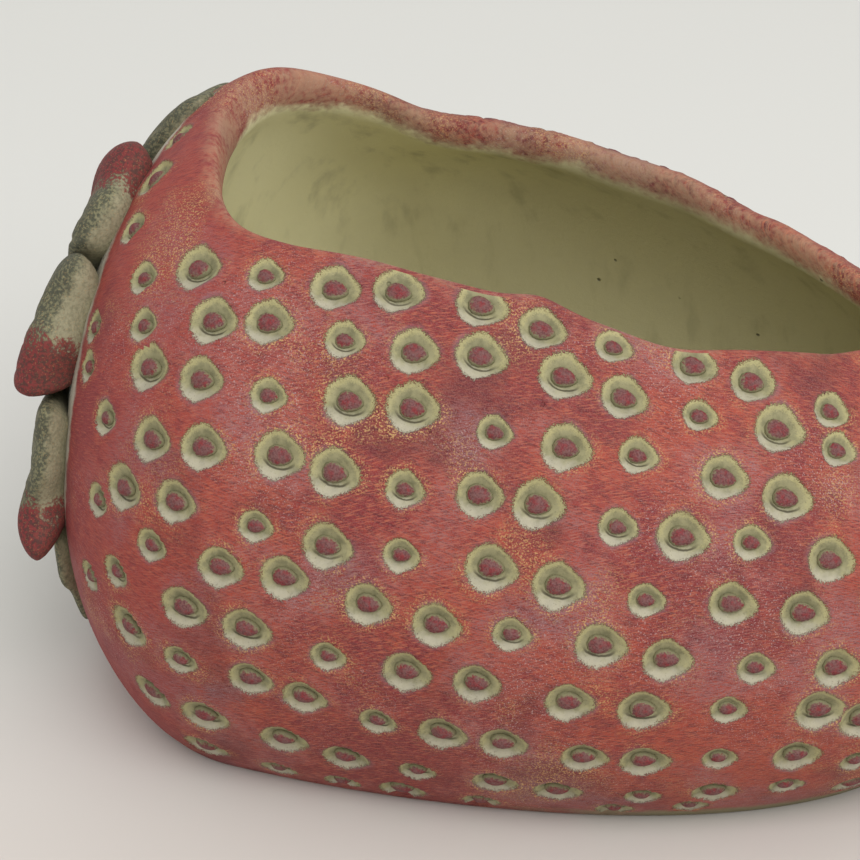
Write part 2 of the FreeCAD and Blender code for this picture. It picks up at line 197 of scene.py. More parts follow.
# colour from its usual hex code, as the linear values that shaders take
def tint(code):
    part = np.array([int(code[place:place + 2], 16) / 255 for place in (0, 2, 4)])
    linear = np.where(part <= 0.04045, part / 12.92, ((part + 0.055) / 1.055) ** 2.4)
    return (*linear.tolist(), 1.0)


# one socket of a node tree, which adds Math nodes when it is used in a sum or product
class Wire:
    def __init__(self, tree, socket=None):
        self.tree = tree
        self.socket = socket

    # any node: its type, its settings, which go first, and the values or wires of its sockets
    def make(self, kind, settings, inputs, output=0):
        node = self.tree.nodes.new(kind)
        for key, value in settings.items():
            setattr(node, key, value)
        for key, value in inputs.items():
            if isinstance(value, Wire):
                self.tree.links.new(value.socket, node.inputs[key])
            else:
                node.inputs[key].default_value = value
        return Wire(self.tree, node.outputs[output])

    def math(self, operation, *values):
        return self.make("ShaderNodeMath", {"operation": operation}, dict(enumerate(values)))

    def __add__(self, other):
        return self.math("ADD", self, other)

    def __sub__(self, other):
        return self.math("SUBTRACT", self, other)

    def __rsub__(self, other):
        return self.math("SUBTRACT", other, self)

    def __mul__(self, other):
        return self.math("MULTIPLY", self, other)

    __radd__ = __add__
    __rmul__ = __mul__

    def root(self):
        return self.math("SQRT", self)

    def size(self):
        return self.math("ABSOLUTE", self)

    def atLeast(self, floor):
        return self.math("MAXIMUM", self, floor)

    # 0 below low, 1 above high, smooth between
    def ease(self, low, high):
        span = {"Value": self, "From Min": low, "From Max": high}
        return self.make("ShaderNodeMapRange", {"interpolation_type": "SMOOTHSTEP"}, span)

    # x, y or z of a vector
    def part(self, axis):
        return self.make("ShaderNodeSeparateXYZ", {}, {0: self}, axis)

    # this vector, scaled along each axis
    def scaled(self, x, y, z):
        return self.make("ShaderNodeMapping", {}, {"Vector": self, "Scale": (x, y, z)})

    # this vector, turned about its third axis
    def turned(self, degrees):
        turn = (0, 0, math.radians(degrees))
        return self.make("ShaderNodeMapping", {}, {"Vector": self, "Rotation": turn})

    # cloudy pattern on this vector, about 0 to 1, with size cycles in a metre
    def cloud(self, size, detail=3.0, rough=0.55):
        sockets = {"Vector": self, "Scale": size, "Detail": detail, "Roughness": rough}
        return self.make("ShaderNodeTexNoise", {}, sockets)

    # distance to the nearest of points scattered over this vector, size of them in a metre
    def pits(self, size):
        return self.make("ShaderNodeTexVoronoi", {}, {"Vector": self, "Scale": size})

    # colour between two colours, with this as the share of the second
    def between(self, first, second):
        return self.make("ShaderNodeMix", {"data_type": "RGBA"}, {0: self, 6: first, 7: second}, 2)


# material with a matte surface, and a wire to hang nodes on
def startMaterial(name, gloss=0.25):
    material = bpy.data.materials.new(name)
    material.use_nodes = True
    shader = material.node_tree.nodes["Principled BSDF"]
    shader.inputs["Specular IOR Level"].default_value = gloss
    return material, shader, Wire(material.node_tree)


# ties colour, roughness and a height in metres to a material's surface
def finishMaterial(shader, color, rough, height):
    bump = color.make("ShaderNodeBump", {}, {"Strength": 1.0, "Distance": 1.0, "Height": height})
    for socket, wire in (("Base Color", color), ("Roughness", rough), ("Normal", bump)):
        color.tree.links.new(wire.socket, shader.inputs[socket])


paint = {                       # colours of the paint and the bare cast
    "crimson": tint("7c2e30"),
    "scarlet": tint("9c4434"),
    "flame": tint("b5674c"),
    "violet": tint("84666c"),
    "ochre": tint("bb9562"),
    "chalk": tint("b8a6a4"),
    "rose": tint("8a3438"),
    "wine": tint("4f2428"),
    "sage": tint("989370"),
    "moss": tint("7d7a5c"),
    "straw": tint("b0a878"),
    "bone": tint("b4ae9e"),
    # pale olive as painted light on the inside, and the darker olive of its painted shade
    "olive": tint("e9e4b8"),
    "oliveShaded": tint("c3bd97"),
    "umber": tint("45402f"),
    "leaf": tint("6e6c54"),
    "leafDark": tint("363a33"),
    "khaki": tint("9a957a"),
    "plum": tint("8c5a54"),
    "mauve": tint("704c49"),
    "lipWear": tint("ab8f72"),
}


# red skin: crimson and scarlet clouds, short brush strokes along the axis and across it, grain, chalky haze,
# a rosy leafy end and dust, each laid over the last by its own mask
def redSkin(place, skin):
    patches = (place.cloud(15, 2.0) + (place.cloud(120, 3.0) - 0.5) * 0.7).ease(0.38, 0.62)
    red = patches.between(paint["crimson"], paint["scarlet"])
    strokes = skin.turned(8).scaled(190, 1500, 1).cloud(1.0, 4.0, 0.7)
    slanted = skin.turned(-24).scaled(260, 1900, 1).cloud(1.0, 4.0, 0.7)
    grain = place.cloud(2600, 2.0)
    red = (strokes.ease(0.46, 0.6) * 0.7).between(red, paint["wine"])
    red = (slanted.ease(0.49, 0.62) * 0.7).between(red, paint["flame"])
    red = (place.cloud(26, 3.0).ease(0.5, 0.68) * (0.3 + strokes * 0.5)).between(red, paint["wine"])
    red = (grain.ease(0.48, 0.6) * 0.45).between(red, paint["plum"])
    haze = place.cloud(30, 3.0).ease(0.46, 0.66) * (slanted + grain * 0.5).ease(0.62, 0.86)
    red = (haze * 0.6).between(red, paint["violet"])
    rosy = 1 - (place.part(0) + (place.cloud(40, 2.0) - 0.5) * 0.06).ease(-0.13, -0.07)
    red = (rosy * 0.4).between(red, paint["rose"])
    dust = place.cloud(21, 2.0).ease(0.42, 0.66) * place.cloud(1900, 2.0).ease(0.58, 0.68)
    red = (dust * 0.5).between(red, paint["chalk"])
    return red, strokes + slanted * 0.6 + grain * 0.5


# the shell's paint: masks from the distances to dimples, lip, leaves and base, made ragged by clouds, lay
# bare sage cast over the red skin outside and turn it to an olive wash inside, with painted highlight and
# painted shade in the dimples and painted light and shade inside
def shellMaterial():
    material, shader, root = startMaterial("handPaintedConcrete")
    place = root.make("ShaderNodeTexCoord", {}, {}, "Object")
    skin = root.make("ShaderNodeUVMap", {"uv_map": "skin"}, {})
    lip = root.make("ShaderNodeAttribute", {"attribute_name": "lip"}, {}, "Fac")
    dimple = root.make("ShaderNodeAttribute", {"attribute_name": "dimple"}, {}, "Vector")
    ahead, up, chance = dimple.part(0), dimple.part(1), dimple.part(2)
    red, strokes = redSkin(place, skin)

    # the dimple's edge is a teardrop, finely ragged where the brush caught it
    fine = place.cloud(420, 3.0)
    ragged = place.cloud(2300, 2.0)
    square = up * up
    tipward = ahead.atLeast(0)
    far = ahead * ahead * (1 - tipward * pot["tipLonger"]) + square * (1 + tipward * pot["tipNarrower"])
    far = far.root()
    edge = far + (place.cloud(170, 2.0) - 0.5) * 0.16 + (fine - 0.5) * 0.14 + (ragged - 0.5) * 0.45
    moat = 1 - edge.ease(0.94, 1.06)
    seedFar = (ahead * ahead * 2.9 + square * 5.0).root()       # 1 near the seed's edge

    # ochre stipple round some dimples and in loose patches, and a darker wash close to them
    stipple = (place.cloud(1700, 2.0) + strokes * 0.1).ease(0.63, 0.73)
    halo = (1 - far.ease(1.0, 1.7)) * place.cloud(34, 2.0).ease(0.42, 0.62)
    loose = place.cloud(24, 2.0).ease(0.52, 0.68)
    close = (1 - far.ease(1.02, 1.3)) * place.cloud(70, 2.0).ease(0.4, 0.7)
    red = (close * 0.5).between(red, paint["violet"])
    red = (stipple * (halo + loose * 0.8) * 0.85).between(red, paint["ochre"])

    # bare sage cast in the dimples, with painted light and shade: straw at the edge with a painted highlight
    # strongest on the upper side, umber painted shade under the upper wall beside the seed, and a bone
    # painted highlight over the lit low half
    sage = place.cloud(300, 3.0).ease(0.35, 0.7).between(paint["sage"], paint["moss"])
    # straw paint at the edge, with a painted highlight mostly on the upper side
    sage = (edge.ease(0.68, 0.9) * (up + fine - 0.5).ease(-0.5, 0.3) * 0.75).between(sage, paint["straw"])
    # bone painted highlight over the low half of the dimple, where light falls in from above
    sage = ((1 - (up + (fine - 0.5) * 0.6).ease(-0.8, -0.2)) * 0.65).between(sage, paint["bone"])
    # umber painted shade under the upper wall, beside the seed
    sage = ((1 - seedFar.ease(1.0, 1.8)) * up.ease(-0.2, 0.4) * 0.15).between(sage, paint["umber"])
    # painted shadow: a dark umber line along the lower edge of the seed, in some dimples
    under = 1 - up.ease(-0.45, -0.1)
    line = 1 - (seedFar - 1.16 + (fine - 0.5) * 0.2).size().ease(0.03, 0.15)
    sage = (line * under * chance.ease(0.62, 0.75) * 0.9).between(sage, paint["umber"])
    sage = (place.cloud(1500, 3.0).ease(0.6, 0.72) * 0.35).between(sage, paint["umber"])
    outside = moat.between(red, sage)

    # sage edge along the base and a pale seam round the leaves, where the red stops
    height = place.part(2) + (place.cloud(120, 3.0) - 0.5) * 0.01
    bare = (1 - height.ease(0.004, 0.009)) * place.cloud(17, 2.0).ease(0.38, 0.52)
    bare = bare * place.part(0).ease(-0.02, 0.06)
    outside = (bare * 0.9).between(outside, paint["moss"])
    leafGap = root.make("ShaderNodeAttribute", {"attribute_name": "leafGap"}, {}, "Fac")
    leafGap = leafGap + (place.cloud(160, 3.0) - 0.5) * 0.008 + (ragged - 0.5) * 0.003
    seam = (1 - leafGap.ease(-0.001, 0.003)) * (1 - lip.ease(-0.024, -0.012)) * (1 - moat)
    outside = seam.between(outside, paint["bone"])
    outside = (1 - leafGap.ease(-0.012, -0.006)).between(outside, paint["leafDark"])

    # the lip is rubbed, most of all at the leafy end and along the far side
    rubbed = 1 - (lip - 0.002).size().ease(0.004, 0.013)
    leafy = (1 - place.part(0).ease(-0.125, -0.08)) * (1 - place.part(1).ease(0.0, 0.02))
    often = place.cloud(480, 3.0) * 0.6 + place.cloud(60, 2.0) * 0.5
    often = often + leafy * 0.1 + place.part(1).ease(0.0, 0.05) * 0.09
    outside = (rubbed * often.ease(0.45, 0.75) * 0.6).between(outside, paint["lipWear"])

    # olive inside, painted light and shade: pale olive high up at the leafy end as painted light, darker
    # olive low down and to the tip as painted shade, with cloudy washes and pinholes; the lip's red fades
    # into it in brush strokes
    # painted shade inside: darker low down and towards the tip
    insideShade = (place.part(0) - place.part(2) * 0.9 + (place.cloud(16, 4.0) - 0.5) * 0.09).ease(-0.27, -0.15)
    wash = insideShade.between(paint["olive"], paint["oliveShaded"])
    wash = (place.scaled(1, 1, 0.3).cloud(90, 4.0).ease(0.5, 0.8) * 0.5).between(wash, paint["sage"])
    holes = 1 - place.pits(62).ease(0.02, 0.06)
    wash = (holes * 0.8).between(wash, paint["umber"])
    inner = lip + (place.cloud(330, 4.0) - 0.5) * 0.009 + (place.cloud(40, 2.0) - 0.5) * 0.012
    color = (inner - leafy * 0.007).ease(0.003, 0.011).between(outside, wash)
    rough = 0.7 + (fine - 0.5) * 0.25 + moat * 0.06
    grit = place.cloud(600, 4.0, 0.65) * 0.0002 + strokes * 0.00012 * (1 - moat) - holes * 0.0006
    finishMaterial(shader, color, rough, grit + edge.ease(0.9, 1.08) * 0.0003)
    return material


pot = {                         # the bowl's grid, mouth and dimples
    "heart": (-0.018, 0.0, 0.080),      # rays from here meet the skin once
    "columns": 516,
    "outerRows": 132,
    "lipRows": 11,
    "innerRows": 26,
    "flatRows": 4,                      # rows on the base, and on the floor
    "beltSteps": 4001,                  # steps that space the columns, and that trace the mouth
    "mouthSteps": 2881,
    "rays": (-1.45, 0.0, 0.2, 1.55),    # lifts between which the base lies, then the lip, in radians
    "calyxCentre": -0.070,              # the mouth is an egg of two end arcs and two side arcs
    "calyxRadius": 0.058,
    "tipCentre": 0.072,
    "tipRadius": 0.034,
    "sideRadius": 0.330,
    "bumps": [(188, 15, -0.006), (218, 13, 0.006), (288, 11, -0.004), (321, 10, 0.002), (350, 9, -0.005)],
    "lipOuter": 0.007,                  # where the lip's roll leaves the skin outside and inside
    "lipInner": 0.006,
    "lipPull": 0.0095,
    "baseRound": 0.0055,                # height at which the skin turns under, and two rows of that turn
    "edgeInsets": (0.010, 0.0035),
    "edgeRise": 0.0015,
    "footRound": 0.006,                 # turn from the inner wall to the floor, and its middle row
    "footShare": 0.65,
    "footOut": 0.0012,
    "footDrop": 0.001,
    "drainAt": 0.050,
    "drainRadius": 0.008,
    "dimpleRadius": 0.0078,
    "dimpleDepth": 0.0026,
    "smallRadius": 0.0059,
    "smallDepth": 0.0021,
    "dimpleSpread": 0.06,               # share by which dimples are larger or smaller
    "tipLonger": 0.12,                  # a dimple is a teardrop, longer and narrower to the tip
    "tipNarrower": 1.1,
    "bowlPower": 0.85,
    "ringHeight": 0.00035,              # low swell round a dimple, with its place and width in dimple radii
    "ringAt": 1.12,
    "ringWidth": 0.17,
    "noDimple": 9,                      # place of what has no dimple, in dimple radii
}


# reach of the mouth from the heart at each turn: a point of the egg is its arc's centre plus the radius
# along the normal, and bells move it in and out
def mouthReach(turn):
    blunt, tip = pot["calyxCentre"], pot["tipCentre"]
    toCalyx, toTip = pot["sideRadius"] - pot["calyxRadius"], pot["sideRadius"] - pot["tipRadius"]
    sideX = (tip + blunt) / 2 + (toCalyx ** 2 - toTip ** 2) / (2 * (tip - blunt))
    sideY = math.sqrt(toCalyx ** 2 - (sideX - blunt) ** 2)
    normal = np.linspace(-math.pi, math.pi, pot["mouthSteps"])
    onTip = np.abs(normal) < math.atan2(sideY, tip - sideX)
    onCalyx = np.abs(normal) > math.atan2(sideY, blunt - sideX)
    radius = np.where(onTip, pot["tipRadius"], np.where(onCalyx, pot["calyxRadius"], pot["sideRadius"]))
    x = np.where(onTip, tip, np.where(onCalyx, blunt, sideX)) + radius * np.cos(normal)
    y = np.where(onTip | onCalyx, 0, -np.sign(normal) * sideY) + radius * np.sin(normal)
    around = np.unwrap(np.arctan2(y, x - pot["heart"][0]))
    reach = np.interp(turn, around, np.hypot(x - pot["heart"][0], y), period=fullTurn)
    return reach + bells(np.degrees(turn), pot["bumps"])


# value between low and high at which a rising measure passes zero, by halving
def solve(measure, low, high, halvings=40):
    for step in range(halvings):
        middle = (low + high) / 2
        above = measure(middle) > 0
        low, high = np.where(above, low, middle), np.where(above, middle, high)
    return (low + high) / 2


seed = {                        # an almond, domed on top and sunk in its dimple
    "length": 0.0088,
    "width": 0.0066,
    "smallLength": 0.0066,
    "smallWidth": 0.0050,
    "smallBelow": 0.0098,       # a small seed's box is shorter than this across its corners
    "taper": 0.28,              # how much narrower it is to the tip
    "rise": 0.0006,
    "sink": 0.0017,
    "columns": 12,
    "rings": 5,
}


# where a node's seeds lie along and round the berry, and which are small: points that edges join belong
# to one seed, and the middle of its box is its place
def seedPlaces(node):
    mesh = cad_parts[node].data
    points = np.empty(len(mesh.vertices) * 3, np.float32)
    mesh.vertices.foreach_get("co", points)
    spots, index = np.unique(points.reshape(-1, 3).round(6), axis=0, return_inverse=True)
    edges = np.empty(len(mesh.edges) * 2, np.int32)
    mesh.edges.foreach_get("vertices", edges)
    first, second = index.ravel()[edges.reshape(-1, 2)].T
    label = np.arange(len(spots))
    for step in range(len(spots)):          # the lowest label spreads along the edges until all agree
        lower = np.minimum(label[first], label[second])
        following = label.copy()
        np.minimum.at(following, first, lower)
        np.minimum.at(following, second, lower)
        if (following == label).all():
            break
        label = following
    kinds = np.unique(label)
    low = np.array([spots[label == kind].min(axis=0) for kind in kinds])
    high = np.array([spots[label == kind].max(axis=0) for kind in kinds])
    along, angle = berryPlaces((low + high) / 2)
    return along, angle, np.linalg.norm(high - low, axis=1) < seed["smallBelow"]


seedNodes = sorted(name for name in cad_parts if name.startswith("seeds"))
seedRows = {node: seedPlaces(node) for node in seedNodes}
allAlong, allAngle, allSmall = (np.concatenate(item) for item in zip(*seedRows.values()))
dimplePoint, dimpleNormal, dimpleAhead = skinFrame(allAlong, allAngle)
dimpleUp = np.cross(dimpleNormal, dimpleAhead)
dimpleUp *= np.where(dimpleUp[:, 2:] < 0, -1, 1)
# a mixed number from 0 to 1 for each dimple, the fraction of a steep sine, makes it larger or smaller
dimpleChance = np.mod(np.sin(np.arange(len(allAlong)) * 12.9898) * 43758.5453, 1)
dimpleSize = np.where(allSmall, pot["smallRadius"], pot["dimpleRadius"])
dimpleSize = dimpleSize * (1 + pot["dimpleSpread"] * (2 * dimpleChance - 1))
print("seeds found", len(allAlong), "small", int(allSmall.sum()))


# number of the nearest dimple to each point
def nearestDimple(points):
    square = (dimplePoint ** 2).sum(axis=1) - 2 * points @ dimplePoint.T
    return square.argmin(axis=1)


# place in a dimple, in dimple radii: ahead to the tip, and up
def dimplePlaces(points, number):
    away = points - dimplePoint[number]
    ahead = (away * dimpleAhead[number]).sum(axis=-1) / dimpleSize[number]
    up = (away * dimpleUp[number]).sum(axis=-1) / dimpleSize[number]
    return ahead, up


# pot shell: a bowl of rays round its heart. Its profile runs from the drain hole along the base, up the
# skin, over the lip as a Bezier curve, down the inner wall and along the floor back to the drain hole
def shellGrid():
    heart, wall, floor = np.array(pot["heart"]), berry["wall"], np.array([0, 0, berry["floor"]])
    turn = np.linspace(0, fullTurn, pot["beltSteps"])
    level = np.stack([np.cos(turn), np.sin(turn), 0 * turn], axis=-1)
    belt = heart + level * reachOfSkin(heart, level, 0)[:, None]
    run = np.concatenate([[0], np.cumsum(np.linalg.norm(np.diff(belt, axis=0), axis=1))])
    turn = np.interp(np.arange(pot["columns"]) / pot["columns"] * run[-1], run, turn)
    level = np.stack([np.cos(turn), np.sin(turn), 0 * turn], axis=-1)

    # where the ray at each turn with this lift meets the skin
    def ray(lift, inset):
        ways = np.stack([np.cos(turn) * np.cos(lift), np.sin(turn) * np.cos(lift), np.sin(lift)], axis=-1)
        return heart + ways * reachOfSkin(heart, ways, inset)[..., None]

    # distance from the heart, seen from above
    def planReach(points):
        return np.hypot(points[..., 0] - heart[0], points[..., 1])

    lowest, flat, lipward, highest = (np.full(turn.shape, lift) for lift in pot["rays"])
    mouth = mouthReach(turn)
    baseLift = solve(lambda lift: ray(lift, 0)[..., 2] - pot["baseRound"], lowest, flat)
    lipLift = solve(lambda lift: mouth + pot["lipOuter"] - planReach(ray(lift, 0)), lipward, highest)
    innerLift = solve(lambda lift: mouth + pot["lipInner"] - planReach(ray(lift, wall)), lipward, highest)
    footLift = solve(lambda lift: ray(lift, wall)[..., 2] - floor[2] - pot["footRound"], lowest, flat)

    outer = ray(baseLift + np.linspace(0, 1, pot["outerRows"])[:, None] * (lipLift - baseLift), 0)
    inner = ray(innerLift + np.linspace(0, 1, pot["innerRows"])[:, None] * (footLift - innerLift), wall)
    leave, arrive = outer[-1] - outer[-2], inner[1] - inner[0]
    leave /= np.linalg.norm(leave, axis=1, keepdims=True)
    arrive /= np.linalg.norm(arrive, axis=1, keepdims=True)
    share = np.linspace(0, 1, pot["lipRows"] + 2)[1:-1, None, None]
    control = [outer[-1], outer[-1] + leave * pot["lipPull"], inner[0] - arrive * pot["lipPull"], inner[0]]
    weights = [(1 - share) ** 3, 3 * share * (1 - share) ** 2, 3 * share ** 2 * (1 - share), share ** 3]
    lipRows = sum(weight * point for weight, point in zip(weights, control))

    drain = np.array([pot["drainAt"], 0, 0]) + pot["drainRadius"] * level
    edge = outer[0] * [1, 1, 0]
    farIn, nearIn = pot["edgeInsets"]
    edgeRows = np.stack([edge - level * farIn, edge - level * nearIn + [0, 0, pot["edgeRise"]]])
    share = np.linspace(0, 1, pot["flatRows"] + 1)[:, None, None]
    baseRows = drain + share[:-1] * (edgeRows[0] - drain)
    foot = inner[-1] * [1, 1, 0] + floor - level * pot["footRound"]
    bend = inner[-1] * (1 - pot["footShare"]) + foot * pot["footShare"]
    footRows = np.stack([bend + level * pot["footOut"] - [0, 0, pot["footDrop"]], foot])
    floorRows = foot + share[1:] * (drain + floor - foot)
    points = np.concatenate([baseRows, edgeRows, outer, lipRows, inner, footRows, floorRows])
    firstOuter = len(baseRows) + len(edgeRows)
    lastOuter = firstOuter + pot["outerRows"]
    return points, firstOuter, lastOuter, lastOuter + len(lipRows) // 2


# the shell's piece, with its dimples pressed in and its places written for the paint
def buildShell():
    points, firstOuter, lastOuter, crest = shellGrid()

    # dimples: bowls with a low swell round their edges
    skinPoints = points[firstOuter:lastOuter].reshape(-1, 3)
    number = nearestDimple(skinPoints)
    ahead, up = dimplePlaces(skinPoints, number)
    tipward = np.maximum(ahead, 0)
    longer = np.maximum(1 - pot["tipLonger"] * tipward, 0.5)            # above zero far from a dimple too
    far = np.sqrt(ahead ** 2 * longer + up ** 2 * (1 + pot["tipNarrower"] * tipward))
    depth = np.where(allSmall, pot["smallDepth"], pot["dimpleDepth"])[number]
    press = pot["ringHeight"] * np.exp(-((far - pot["ringAt"]) / pot["ringWidth"]) ** 2)
    press = press - depth * np.clip(1 - far ** 2, 0, 1) ** pot["bowlPower"]
    points[firstOuter:lastOuter] += (dimpleNormal[number] * press[:, None]).reshape(pot["outerRows"], -1, 3)

    rows, columns = points.shape[:2]
    faces = gridFaces(rows, columns, ringed=True)
    plain = points.reshape(-1, 3)
    piece = makePiece("potShell", handMade(plain), faces.tolist(), shellMaterial())

    # distance from the lip's crest, below zero outside and above zero inside
    steps = np.linalg.norm(np.diff(points, axis=0), axis=2)
    run = np.concatenate([np.zeros((1, columns)), np.cumsum(steps, axis=0)])
    writeAttribute(piece, "lip", "FLOAT", "POINT", run - run[crest])

    # each face takes its place from its own nearest dimple
    number = np.repeat(nearestDimple(plain[faces].mean(axis=1)), 4)
    row = np.repeat(faces[:, 0] // columns, 4)
    onSkin = (row >= firstOuter) & (row < lastOuter)
    ways = dimplePlaces(plain[faces.ravel()], number)
    ahead, up = (np.where(onSkin, way, pot["noDimple"]) for way in ways)
    places = np.stack([ahead, up, dimpleChance[number]], axis=-1)
    writeAttribute(piece, "dimple", "FLOAT_VECTOR", "CORNER", places)

    # how far outside the leaves' tips each point of the blunt end lies
    along, angle = berryPlaces(plain)
    reach = np.interp(np.degrees(angle), calyx["angles"], calyx["reaches"], period=360)
    outward = np.linalg.norm(plain - widest - along[:, None] * axisWay, axis=1)
    leafGap = np.where(along < 0, outward - reach * calyx["foothold"], 1)
    writeAttribute(piece, "leafGap", "FLOAT", "POINT", leafGap)

    # unrolled skin, so that brush strokes run along the berry
    along, angle = berryPlaces(plain[faces.ravel()])
    unrolled = np.stack([along, angle * berry["radius"]], axis=-1).astype(np.float32)
    layer = piece.data.uv_layers.new(name="skin")
    layer.data.foreach_set("uv", unrolled.ravel())
    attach(piece, "root")
    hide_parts("pot_shell")
    print("shell", rows, "by", columns, "faces", len(faces))


# the seeds' paint: mauve and crimson clouds, worn to moss green in patches and more so low down
def seedMaterial():
    material, shader, root = startMaterial("seedPaint")
    place = root.make("ShaderNodeTexCoord", {}, {}, "Object")
    high = root.make("ShaderNodeAttribute", {"attribute_name": "high"}, {}, "Fac")
    red = place.cloud(500, 3.0).ease(0.4, 0.7).between(paint["mauve"], paint["crimson"])
    red = (place.cloud(1700, 3.0).ease(0.48, 0.6) * 0.6).between(red, paint["wine"])
    worn = (place.cloud(1300, 3.0) * 0.7 + place.cloud(260, 2.0) * 0.3 + (1 - high) * 0.66).ease(0.72, 0.95)
    color = worn.between(red, paint["moss"])
    color = (place.cloud(2300, 2.0).ease(0.52, 0.66) * 0.3).between(color, paint["violet"])
    grit = place.cloud(1100, 3.0) * 0.0003
    finishMaterial(shader, color, 0.72 + (place.cloud(600) - 0.5) * 0.2, grit)
    return material


# one row of seeds: rings from the top of an almond to its foot, narrower to the tip, set in each skin frame
def buildSeeds(node, along, angle, small, material):
    point, normal, ahead = (item[:, None] for item in skinFrame(along, angle))
    across = np.cross(normal, ahead)
    lean = np.linspace(0, math.pi, seed["rings"] + 2)[:, None]
    around = np.arange(seed["columns"]) / seed["columns"] * fullTurn
    lengthwise = np.sin(lean) * np.cos(around)
    sideways = np.sin(lean) * np.sin(around) * (1 - seed["taper"] * lengthwise)
    almond = closedRows(np.stack([lengthwise, sideways, np.cos(lean) + 0 * around], axis=-1))
    lengthwise, sideways, upward = (almond[:, item, None] for item in range(3))
    length = np.where(small, seed["smallLength"], seed["length"])[:, None, None] / 2
    width = np.where(small, seed["smallWidth"], seed["width"])[:, None, None] / 2
    points = point + ahead * lengthwise * length + across * sideways * width
    points = points + normal * (upward * (seed["rise"] + seed["sink"]) - seed["sink"])
    faces = closedFaces(seed["rings"] + 2, seed["columns"], len(along))
    piece = makePiece(node + ".painted", handMade(points.reshape(-1, 3)), faces, material)
    writeAttribute(piece, "high", "FLOAT", "POINT", np.tile(upward.ravel(), len(along)))
    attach(piece, "root")
    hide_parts(node)


calyx = {                       # thick leaves that lie on the blunt end and stand out at their tips
    "angles": (113, 80, 43, 6, 320, 282, 244, 202, 160),
    "reaches": (0.110, 0.096, 0.088, 0.088, 0.082, 0.076, 0.076, 0.082, 0.094),
    # how far each outer face's ellipse stands past the berry, along the axis and across it
    "stands": (0.0145, 0.014, 0.015, 0.007, 0.0015, 0.005, 0.006, 0.007, 0.007),
    "flares": (0.0205, 0.027, 0.030, 0.028, 0.020, 0.024, 0.024, 0.024, 0.020),
    "blush": (0, 1, 1, 0.9, 0, 0.6, 0, 0.9, 0.4),       # how red a corner of each leaf is, and which corner
    "corner": (0, -0.25, 0.6, 0.7, 0, 0.4, 0, -0.5, 0.5),
    "cornerWidth": 0.5,
    "blushSpan": (0.62, 0.85),  # shares of the reach between which the red comes in
    "root": 0.011,
    "width": 0.070,
    "rootWidth": 0.25,          # share of the width at the root, and share of the reach where it is full
    "fullAt": 0.66,
    "tipFrom": 0.76,            # shares of the reach where the tip's rounding begins and the root's ends
    "rootTo": 0.12,
    "sideWave": 0.06,
    "tipWaves": (0.045, 0.03),
    "gap": 0.0004,              # to the neighbours, and the least half width beside them
    "leastHalf": 0.002,
    "leastTip": 0.3,
    "lift": 0.008,
    "bed": 0.001,
    "leastThick": 0.003,
    "curl": 0.001,              # how far the tip turns up, how much more at its red corner, and where
    "cornerCurl": 0.005,
    "curlSpan": (0.6, 0.95),
    "middle": 0.58,             # share of the reach at which the rings have their middle
    "rim": 0.25,                # share of the thickness at which the margin stands furthest out
    "rimCurve": (9, 0.45),      # powers of the roll from the outer face to there, and on to the inner face
    "footCurve": (2.5, 0.75),
    "foothold": 0.90,           # share of the reach at which the leaf meets the skin
    "sunk": 0.005,              # how deep the inner face is bonded into the skin
    "lump": 0.0012,
    "midrib": 0.0017,           # depth and half width of the middle groove
    "midribWidth": 0.0022,
    "sideVein": 0.0008,         # depth, pitch and slant of the side grooves, and where they begin
    "veinPitch": 0.012,
    "veinSlant": 0.9,
    "veinSpan": (0.002, 0.006),
    "veinPale": 0.7,
    "outerRings": 26,
    "innerRings": 10,
    "columns": 144,
}


# the leaves' paint: green clouds with dark speckle, pale grooves and a khaki underside, and red at a corner
def leafMaterial():
    material, shader, root = startMaterial("leafPaint")
    place = root.make("ShaderNodeTexCoord", {}, {}, "Object")
    leaf = root.make("ShaderNodeAttribute", {"attribute_name": "leaf"}, {}, "Vector")
    vein, face, blush = leaf.part(0), leaf.part(1), leaf.part(2)
    speckle = place.cloud(900, 3.0)
    green = place.cloud(45, 3.0).ease(0.35, 0.65).between(paint["leaf"], paint["moss"])
    green = ((speckle + face * 0.1).ease(0.45, 0.62) * 0.75).between(green, paint["leafDark"])
    green = (vein * speckle.ease(0.3, 0.55) * 0.8).between(green, paint["khaki"])
    below = 1 - (face + (place.cloud(260, 3.0) - 0.5) * 0.8).ease(0.1, 0.6)
    pale = (speckle.ease(0.4, 0.66) * 0.45).between(paint["khaki"], paint["leaf"])
    color = below.between(green, pale)
    touch = (blush + (place.cloud(190, 4.0) - 0.5) * 0.8 + (speckle - 0.5) * 0.8).ease(0.36, 0.62)
    color = (touch * 0.9).between(color, speckle.ease(0.4, 0.6).between(paint["wine"], paint["crimson"]))
    color = (place.cloud(1700, 2.0).ease(0.6, 0.7) * 0.35).between(color, paint["ochre"])
    grit = place.cloud(380, 4.0, 0.65) * 0.0006
    finishMaterial(shader, color, 0.72 + (place.cloud(500) - 0.5) * 0.25, grit)
    return material


